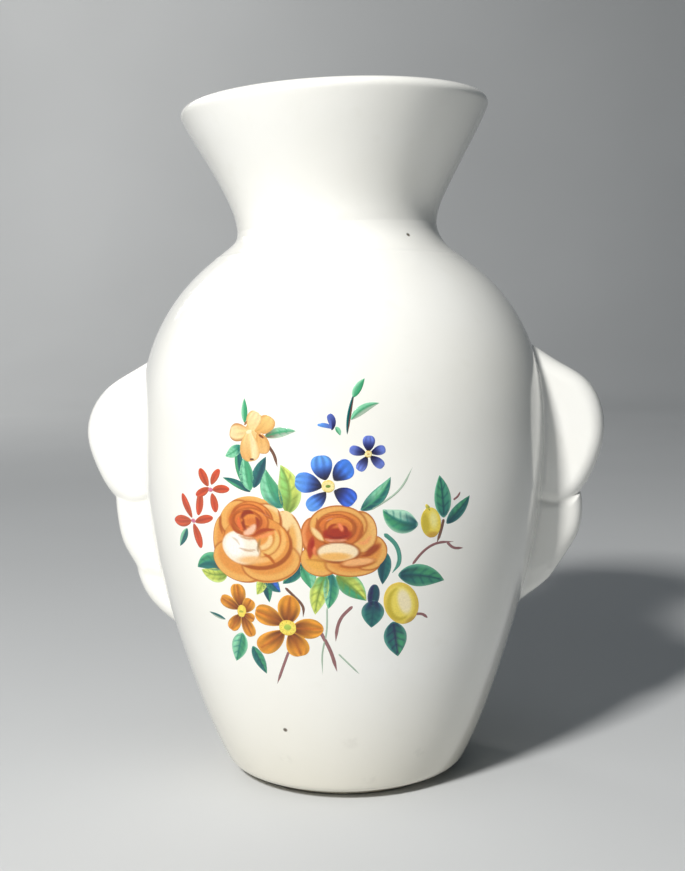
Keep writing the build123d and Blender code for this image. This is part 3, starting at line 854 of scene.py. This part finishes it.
bud = Motif()
bud.lay(bow((1.7, 89.9), (-1.9, 90.7), -0.3), 1.1, LANCE, paint(VIOLET, tip=SKY))
bud.over().lay(bow((1.2, 89.5), (0.5, 93.0), -0.5), 1.8, PETAL, paint(DUSK, tip=VIOLET, left=VIOLET))
bud.lay(bow((2.0, 90.3), (3.0, 88.4), 0.2), 1.1, LEAF, paint(MINT, right=GREEN))
bud.finish("blue_bud", "violet_blue_enamel")



# --- red blossoms
def red_blossom(node, x, z, *petals):
    """A blossom with its stamens at x and z; each petal is a base, a tip, a width and a bend."""
    motif = Motif()
    motif.petals(LANCE, paint(BRICK, tip=RED, rim=BRICK, vein=(184, 64, 40), streak=0.1), *petals)
    motif.oval(x, z, 1.2, 1.1, 0, paint(STAMEN, rim=(236, 170, 170)))
    motif.finish(node, "red_enamel")


red_blossom(
    "red_blossom_upper", -26.4, 75.9,
    ((-29.0, 75.6), (-29.9, 69.7), 2.0, 0.15), ((-26.7, 76.4), (-30.3, 74.3), 1.9, 0.15),
    ((-26.9, 76.6), (-28.9, 80.6), 2.2, 0.15), ((-26.2, 77.0), (-24.0, 80.7), 1.8, 0.15),
    ((-26.0, 75.9), (-21.7, 76.3), 2.0, 0.15), ((-26.1, 75.2), (-25.4, 70.8), 2.0, 0.15),
)
red_blossom(
    "red_blossom_lower", -31.2, 68.3,
    ((-31.5, 68.9), (-33.9, 74.4), 1.9, 0.15), ((-31.7, 68.3), (-36.6, 67.7), 2.8, 0.15),
    ((-30.8, 68.0), (-26.0, 69.6), 2.0, 0.15), ((-31.2, 67.7), (-29.6, 62.0), 2.1, 0.15),
)

# --- apricot blossom
apricot = Motif()
apricot.oval(-15.9, 89.0, 4.4, 4.0, 0, paint((244, 206, 140), rim=TAN))
apricot.over()
for tone, *petal in (
    (paint((244, 206, 140), tip=APRICOT, rim=(190, 122, 66)), (-16.6, 89.4), (-21.4, 89.1), 4.0, 0.3),
    (paint(TAN, tip=(246, 206, 130), rim=(222, 158, 90)), (-15.6, 89.2), (-11.9, 92.4), 3.9, -0.4),
    (paint((246, 214, 150), tip=APRICOT, rim=TAN), (-16.2, 89.0), (-14.9, 93.4), 3.6, 0.3),
    (paint(TAN, tip=(240, 190, 120), rim=(214, 150, 84)), (-15.0, 89.0), (-13.8, 84.4), 3.4, 0.4),
    (paint((250, 216, 150), left=APRICOT, tip=TAN, rim=TAN), (-16.8, 89.4), (-16.4, 82.7), 4.6, -0.2),
):
    apricot.petals(PETAL, tone, petal)
apricot.oval(-16.9, 89.1, 1.5, 1.2, 20, paint((250, 236, 190), rim=(238, 190, 110)))
apricot.oval(-14.1, 88.2, 1.5, 0.8, -35, paint((150, 84, 50), rim=TAN))
apricot.oval(-16.3, 83.2, 1.1, 0.8, 0, paint((112, 66, 52), rim=(170, 110, 70)))
apricot.oval(-17.6, 91.0, 1.2, 0.5, 55, paint((176, 116, 70)))
apricot.finish("apricot_blossom", "apricot_enamel")

# --- amber flowers
amber_large = Motif()
tone = paint(AMBER, rim=(240, 172, 60), foot=(112, 50, 12), reach=0.6, vein=(186, 98, 24), streak=0.14)
amber_large.petals(
    PETAL, tone, ((-10.4, 46.0), (-17.0, 48.7), 4.9, -0.3), ((-10.4, 44.6), (-16.7, 39.5), 4.9, 0.3),
    ((-9.2, 44.3), (-6.8, 38.5), 5.3, 0.2),
)
amber_large.petals(
    LANCE, tone, ((-8.7, 45.2), (-1.5, 45.3), 4.9, 0), ((-9.3, 46.2), (-8.6, 53.1), 5.2, 0.2),
)
amber_large.oval(-9.6, 45.3, 4.0, 3.9, 0, paint((255, 232, 100), rim=(248, 208, 80)))
amber_large.over()
for k, (x, z) in enumerate(arc((-9.6, 45.3), (1.45, 1.4), 20, 340, 9)):
    amber_large.oval(x, z, 0.62, 0.4, 20 + 40 * k, paint((224, 158, 60)))
amber_large.oval(-9.6, 45.4, 1.9, 1.8, 0, paint((176, 204, 84), rim=YELLOW))
amber_large.finish("amber_flower_large", "amber_enamel")

amber_small = Motif()
amber_small.petals(
    PETAL, paint(AMBER, rim=(236, 176, 70), foot=(112, 50, 12), reach=0.6, vein=(170, 86, 20), streak=0.14),
    ((-20.4, 49.2), (-21.1, 54.8), 3.7), ((-20.6, 48.8), (-25.3, 50.9), 3.2),
    ((-19.7, 48.0), (-17.7, 51.4), 3.1), ((-20.6, 47.5), (-23.3, 43.3), 3.0),
    ((-20.1, 47.4), (-18.0, 42.3), 3.1), ((-19.8, 47.6), (-17.2, 46.6), 2.3),
)
amber_small.oval(-20.2, 48.3, 3.2, 2.3, 80, paint((255, 230, 96), rim=(236, 196, 70)))
amber_small.oval(-20.3, 48.2, 1.2, 0.9, 0, paint((190, 190, 74)), lift=1)
amber_small.finish("amber_flower_small", "amber_enamel")

# --- lemons
lemon_wash = Wash((250, 224, 84))
lemon_wash.spot(20.9, 68.6, 0.9, 2.6, (214, 190, 56), 0.8, 6)
lemon_wash.spot(22.7, 69.4, 0.8, 1.9, (252, 240, 150), 0.9, 6)
lemon_wash.spot(22.5, 65.9, 1.4, 0.8, (212, 168, 60), 0.8)
lemon_high = Motif()
lemon_high.oval(22.1, 68.8, 6.9, 4.4, 96, lemon_wash)
lemon_high.lay(bow((22.0, 71.3), (21.0, 73.0)), 0.9, LANCE, paint(OLIVE, tip=LEMON))
lemon_high.finish("lemon_upper", "lemon_enamel")

lemon_wash = Wash((238, 206, 80))
lemon_wash.spot(15.5, 50.8, 3.1, 4.4, (248, 226, 96), 0.9, 15)
lemon_wash.stroke(arc((15.3, 50.8), (2.5, 3.7), 110, 300), 1.1, (206, 182, 50), 0.7, 0.9)
lemon_wash.stroke(arc((15.9, 50.6), (3.0, 4.0), -60, 80), 0.8, (222, 190, 70), 0.7, 0.7)
lemon_wash.spot(16.2, 51.2, 1.4, 3.0, (255, 240, 196), 0.9, 12)
lemon_wash.spot(17.9, 46.6, 1.6, 0.8, (196, 160, 66), 0.8, 20, 0.8)
lemon_low = Motif()
lemon_low.oval(15.5, 50.8, 10.1, 7.5, 105, lemon_wash)
lemon_low.finish("lemon_lower", "lemon_enamel")


# --- roses
AMBER_ROSE, HONEY, PALE, ROSE, EMBER = (
    (232, 152, 66), (240, 178, 92), (250, 214, 152), (214, 110, 42), (236, 112, 52))
BLUSH, RUSSET, MAHOGANY, SHELL = (250, 196, 164), (178, 90, 28), (150, 50, 10), (253, 240, 218)
DARK_LINE, BAND = ((178, 84, 18), (162, 66, 10)), ((234, 142, 56), (226, 124, 46))


def rose(node, wash, *rows):
    """The overlapping ovals of one rose, which share one wash and so read as one surface."""
    motif = Motif()
    for x, z, length, width, turn in rows:
        motif.oval(x, z, length, width, turn, wash)
        motif.over()
    motif.finish(node, "rose_enamel")


def rings(wash, centre, *sizes):
    """The rolled petals of a heart, each ring a light band with a dark line under it."""
    for k, (wide, tall) in enumerate(sizes):
        x, z = centre[0] + 0.3 * (-1) ** k, centre[1] + 0.16 * k
        wash.spot(x, z, wide, tall, DARK_LINE[k % 2], 0.35)
        wash.spot(x, z + 0.1, wide - 0.36, tall - 0.3, BAND[k % 2], 0.35)
        wash.spot(x + 0.4 * (-1) ** k, z - 0.3, wide - 0.95, tall - 0.85, ROSE, 0.7, 0, 0.7)


heart = (-17.1, 69.6)
wash = Wash(HONEY)
for petal in (
    (-23.1, 64.6, 3.0, 6.2, 0, AMBER_ROSE, HONEY), (-9.5, 65.2, 3.9, 6.6, 0, HONEY, PALE),
    (-20.2, 60.2, 6.2, 4.6, -12, AMBER_ROSE, HONEY), (-12.8, 60.4, 6.6, 4.1, 14, AMBER_ROSE, HONEY),
    (-16.9, 69.6, 7.3, 5.6, 0, AMBER_ROSE, HONEY), (-13.4, 68.9, 4.9, 4.5, 0, HONEY, PALE),
    (-19.6, 69.6, 4.5, 4.3, 0, AMBER_ROSE, HONEY),
):
    wash.petal(*petal, RUSSET, heart)
wash.stroke(through((-24.0, 70.2), (-24.3, 68.4), (-23.9, 66.2)), 0.7, RUSSET, 0.4, 0.8)
wash.spot(-8.7, 70.6, 1.2, 2.4, PALE, 0.7)
wash.spot(-22.4, 64.6, 1.0, 2.0, HONEY, 0.8, 0, 0.8)
rings(wash, heart, (5.0, 4.4), (4.1, 3.6), (3.2, 2.7), (2.2, 1.8))
wash.lines(
    (0.6, RUSSET, 0.35, 1, (-21.2, 71.2), (-21.4, 69.2), (-20.4, 67.2)),
    (0.7, RUSSET, 0.4, 0.8, (-13.6, 72.2), (-12.7, 70.6), (-12.7, 68.8), (-13.7, 67.4)),
    (0.6, RUSSET, 0.35, 1, (-10.7, 72.4), (-10.2, 70.4), (-10.4, 68.2), (-11.7, 65.6)),
    (1.0, EMBER, 0.5, 1, (-19.9, 70.3), (-19.7, 68.9), (-19.0, 67.7)),
)
for x, z, wide, tall in ((-18.5, 71.2, 1.2, 0.7), (-15.9, 70.0, 0.8, 1.3), (-18.3, 68.9, 0.6, 0.8)):
    wash.spot(x, z, wide, tall, MAHOGANY, 0.5)
# the cup: its dark outline, the cream front petal and the golden ones wrapped beside it
wash.spot(-15.7, 64.6, 8.0, 6.1, (172, 86, 20), 0.4)
wash.spot(-15.9, 65.1, 7.5, 5.7, AMBER_ROSE, 0.35)
for k, (tone, width) in enumerate((((246, 188, 104), 1.3), (RUSSET, 0.3), ((242, 196, 112), 1.2),
                                   ((206, 128, 50), 0.3), (PALE, 1.2))):
    wash.stroke(arc((-15.9, 66.0), (6.3 - 0.75 * k, 5.3 - 0.7 * k), 262, 384), width, tone, 0.45, 0.9)
wash.stroke(through((-14.4, 62.4), (-13.0, 61.6), (-11.7, 60.0)), 0.7, (186, 92, 22), 0.4)
wash.spot(-19.3, 63.2, 4.5, 3.8, (214, 152, 92), 0.35, -14)
wash.spot(-19.6, 63.4, 4.4, 3.7, SHELL, 0.4, -14)
wash.spot(-20.9, 63.9, 2.3, 2.6, (255, 251, 244), 1.2, -14)
wash.spot(-17.0, 60.7, 3.2, 0.9, (246, 190, 122), 0.9, 6, 0.9)
wash.lines(
    (0.55, (160, 118, 66), 0.35, 0.9, (-14.9, 65.6), (-15.4, 64.2), (-15.6, 62.7)),
    (0.45, (200, 160, 124), 0.35, 0.9, (-19.8, 63.2), (-17.6, 62.8), (-15.9, 63.2)),
    (0.4, (214, 190, 160), 0.35, 0.8, (-21.6, 65.6), (-20.4, 64.9), (-19.9, 64.0)),
)
# the heart over the cup
wash.spot(-17.6, 68.9, 4.6, 3.0, (200, 98, 30), 0.5, -10)
rings(wash, (-17.4, 69.4), (4.3, 3.1), (3.4, 2.4), (2.5, 1.7))
wash.stroke(arc((-17.3, 69.7), (1.7, 1.9), 60, 170), 1.1, MAHOGANY, 0.4)
wash.stroke(arc((-17.2, 69.4), (1.9, 1.6), -50, 40), 0.9, (158, 56, 12), 0.4)
wash.lines(
    (0.7, MAHOGANY, 0.35, 1, (-18.6, 70.0), (-18.7, 68.6), (-18.0, 67.3)),
    (0.9, EMBER, 0.4, 1, (-19.7, 70.2), (-19.7, 68.6), (-19.0, 67.3)),
    (0.6, (176, 78, 20), 0.35, 1, (-21.5, 68.6), (-20.6, 67.1), (-18.9, 66.5)),
    (1.5, BLUSH, 0.5, 1, (-18.6, 66.6), (-17.2, 67.3), (-16.0, 68.7)),
    (0.5, (204, 146, 104), 0.35, 0.9, (-19.8, 66.0), (-17.6, 65.5), (-15.6, 65.7)),
    (0.8, (170, 62, 10), 0.4, 1, (-16.6, 66.3), (-14.8, 67.5), (-11.6, 67.9)),
    (0.8, (244, 150, 84), 0.4, 1, (-16.0, 65.8), (-13.8, 66.5), (-11.7, 67.3)),
)
rose("rose_left", wash, (-16.8, 67.2, 16.2, 15.8, 0), (-22.9, 64.4, 12.8, 6.8, 90),
     (-19.8, 60.2, 13.4, 9.8, -12), (-12.8, 60.2, 13.8, 9.0, 14), (-9.4, 65.2, 14.0, 8.0, 90),
     (-16.6, 64.6, 17.0, 14.0, 0))

heart = (2.2, 67.9)
wash = Wash(HONEY)
for petal in (
    (-1.8, 61.4, 4.2, 3.6, 0, (240, 176, 76), HONEY), (5.2, 60.3, 5.7, 2.6, 0, AMBER_ROSE, HONEY),
    (8.6, 63.0, 3.9, 3.9, 30, AMBER_ROSE, HONEY), (7.0, 67.4, 3.4, 4.4, 0, HONEY, (246, 190, 108)),
    (-3.0, 66.8, 2.6, 3.8, 0, ROSE, (238, 150, 84)), (2.2, 69.0, 6.0, 4.2, 0, AMBER_ROSE, HONEY),
):
    wash.petal(*petal, RUSSET, heart)
rings(wash, (2.2, 68.2), (5.2, 4.0), (4.2, 3.2), (3.2, 2.4))
wash.spot(1.9, 67.1, 3.2, 1.4, (170, 42, 6), 0.6)
wash.stroke(arc((2.2, 67.8), (2.0, 1.5), 100, 200), 0.7, (168, 52, 8), 0.4)
wash.stroke(arc((2.4, 67.9), (1.6, 1.2), -30, 60), 0.7, (156, 40, 6), 0.4)
wash.lines(
    (0.9, (246, 134, 84), 0.4, 1, (2.4, 69.4), (2.9, 68.6), (3.1, 67.8)),
    (0.5, (140, 30, 4), 0.35, 1, (-0.4, 67.0), (1.8, 66.3), (4.4, 66.8)),
    (0.55, RUSSET, 0.35, 1, (-2.3, 70.6), (-2.0, 68.8), (-1.0, 66.9)),
    (1.2, PALE, 0.45, 1, (-3.3, 68.4), (-2.3, 67.2), (-1.1, 65.8)),
    (0.6, RUSSET, 0.4, 0.8, (5.3, 70.4), (6.0, 68.6), (5.4, 66.6)),
    (0.5, RUSSET, 0.4, 0.8, (7.2, 68.6), (7.0, 67.2), (6.2, 66.0)),
    (1.5, (180, 58, 18), 0.6, 1, (-3.3, 66.4), (-3.7, 64.6), (-4.0, 61.8)),
    (0.8, (170, 36, 8), 0.5, 1, (-3.2, 65.8), (-3.4, 64.8), (-3.5, 63.8)),
    (0.8, (240, 132, 80), 0.4, 1, (-2.9, 64.3), (-3.0, 63.2), (-2.5, 62.3)),
    (0.8, (236, 156, 116), 0.4, 1, (-0.6, 66.0), (1.6, 65.5), (4.0, 65.9)),
    (0.9, (246, 164, 96), 0.5, 1, (6.4, 65.0), (8.0, 65.2), (9.3, 66.6)),
)
wash.spot(9.6, 63.5, 1.9, 0.8, MAHOGANY, 0.7, 35, 0.8)
wash.stroke(through((6.8, 62.1), (8.9, 62.5), (10.6, 63.9)), 0.7, (166, 70, 12), 0.4)
wash.spot(2.2, 63.0, 4.8, 2.45, (158, 78, 26), 0.45)
wash.spot(2.1, 63.1, 4.4, 2.0, (254, 230, 190), 0.4)
wash.spot(1.4, 62.1, 3.5, 0.9, (244, 184, 98), 0.7)
wash.spot(6.3, 60.6, 3.9, 1.15, (182, 92, 26), 0.4, 6)
wash.spot(6.4, 60.8, 3.5, 0.8, (250, 182, 116), 0.4, 6)
wash.stroke(through((-4.6, 61.4), (-2.6, 61.3), (0.2, 60.7)), 0.5, (190, 120, 40), 0.4, 0.7)
rose("rose_right", wash, (2.2, 69.0, 12.6, 9.0, 0), (-3.1, 66.6, 8.6, 5.8, 90),
     (6.9, 67.4, 9.6, 7.4, 90), (8.5, 62.9, 8.6, 7.8, 30), (5.0, 60.3, 12.2, 5.8, 0),
     (-1.6, 61.4, 9.0, 7.8, 0), (2.2, 65.2, 11.0, 11.0, 0))


# ---------------- floor, lights and camera
# fitted to the photo's outline, which fixes the distance only weakly; the side angle was set separately
CAMERA_DISTANCE = 309.3
CAMERA_HEIGHT = 112.3
CAMERA_SIDE = math.radians(4.0)     # how far to the vase's right the camera stands
CAMERA_PITCH = math.radians(-5.26)
CAMERA_ROLL = math.radians(-0.72)
CAMERA_LENS = 50.7


def soft_light(name, azimuth, elevation, distance, size, power, tint, target=(0, 0, 0.09)):
    """A square light in metres and watts; azimuth 0 is in front of the vase, positive to its right."""
    data = bpy.data.lights.new(name, "AREA")
    data.size, data.energy, data.color = size, power, tint
    lamp = put_in_scene(name, data)
    a, e = math.radians(azimuth), math.radians(elevation)
    away = Vector((math.sin(a) * math.cos(e), -math.cos(a) * math.cos(e), math.sin(e))) * distance
    lamp.location = Vector(target) + away
    lamp.rotation_euler = (Vector(target) - lamp.location).to_track_quat("-Z", "Y").to_euler()
    return lamp


def backdrop():
    """A pale floor that curves up into a backdrop well behind the vase, in metres."""
    depth, bend, wide, tall = 1.3, 0.6, 3.0, 2.0
    line = [(-3.0, 0.0), *arc((depth, bend), bend, -90, 0, 24), (depth + bend, tall)]
    verts = [(x, y, z) for x in (-wide, wide) for y, z in line]
    n = len(line)
    faces = [(i, i + 1, n + i + 1, n + i) for i in range(n - 1)]
    floor = add_mesh("studio_floor", np.array(verts) / MM, faces)
    n = Nodes("pale_paper")
    n.link(n.ramp(n.noise(3.0, 2), (0.3, srgb(204, 205, 205)), (0.7, srgb(210, 211, 211))),
           n.shader.inputs["Base Color"])
    n.set(Roughness=0.85, Specular_IOR_Level=0.2)
    floor.data.materials.append(n.material)


backdrop()
soft_light("key", azimuth=-26, elevation=38, distance=1.05, size=0.13, power=13.0, tint=(1.0, 0.992, 0.975))
top = soft_light("top", azimuth=10, elevation=78, distance=1.1, size=0.5, power=0.8, tint=(0.97, 0.985, 1.0))
top.visible_glossy = False
soft_light("backdrop_wash", azimuth=-50, elevation=35, distance=1.0, size=0.6, power=6.0,
           tint=(1.0, 0.99, 0.97), target=(-0.2, 1.6, 0.3))
world = bpy.data.worlds.new("studio")
world.use_nodes = True
sky = world.node_tree.nodes["Background"].inputs
sky["Color"].default_value = (0.40, 0.64, 0.86, 1)
sky["Strength"].default_value = 0.06
bpy.context.scene.world = world
bpy.context.scene.view_settings.view_transform = "Standard"

camera_data = bpy.data.cameras.new("camera")
camera_data.lens = CAMERA_LENS
camera_data.clip_start = 0.01
camera = put_in_scene("camera", camera_data)
camera.location = (
    CAMERA_DISTANCE * MM * math.sin(CAMERA_SIDE),
    -CAMERA_DISTANCE * MM * math.cos(CAMERA_SIDE),
    CAMERA_HEIGHT * MM,
)
facing = Matrix.Rotation(CAMERA_SIDE, 4, "Z") @ Matrix.Rotation(math.pi / 2 + CAMERA_PITCH, 4, "X")
camera.rotation_euler = (facing @ Matrix.Rotation(CAMERA_ROLL, 4, "Z")).to_euler()
bpy.context.scene.camera = camera
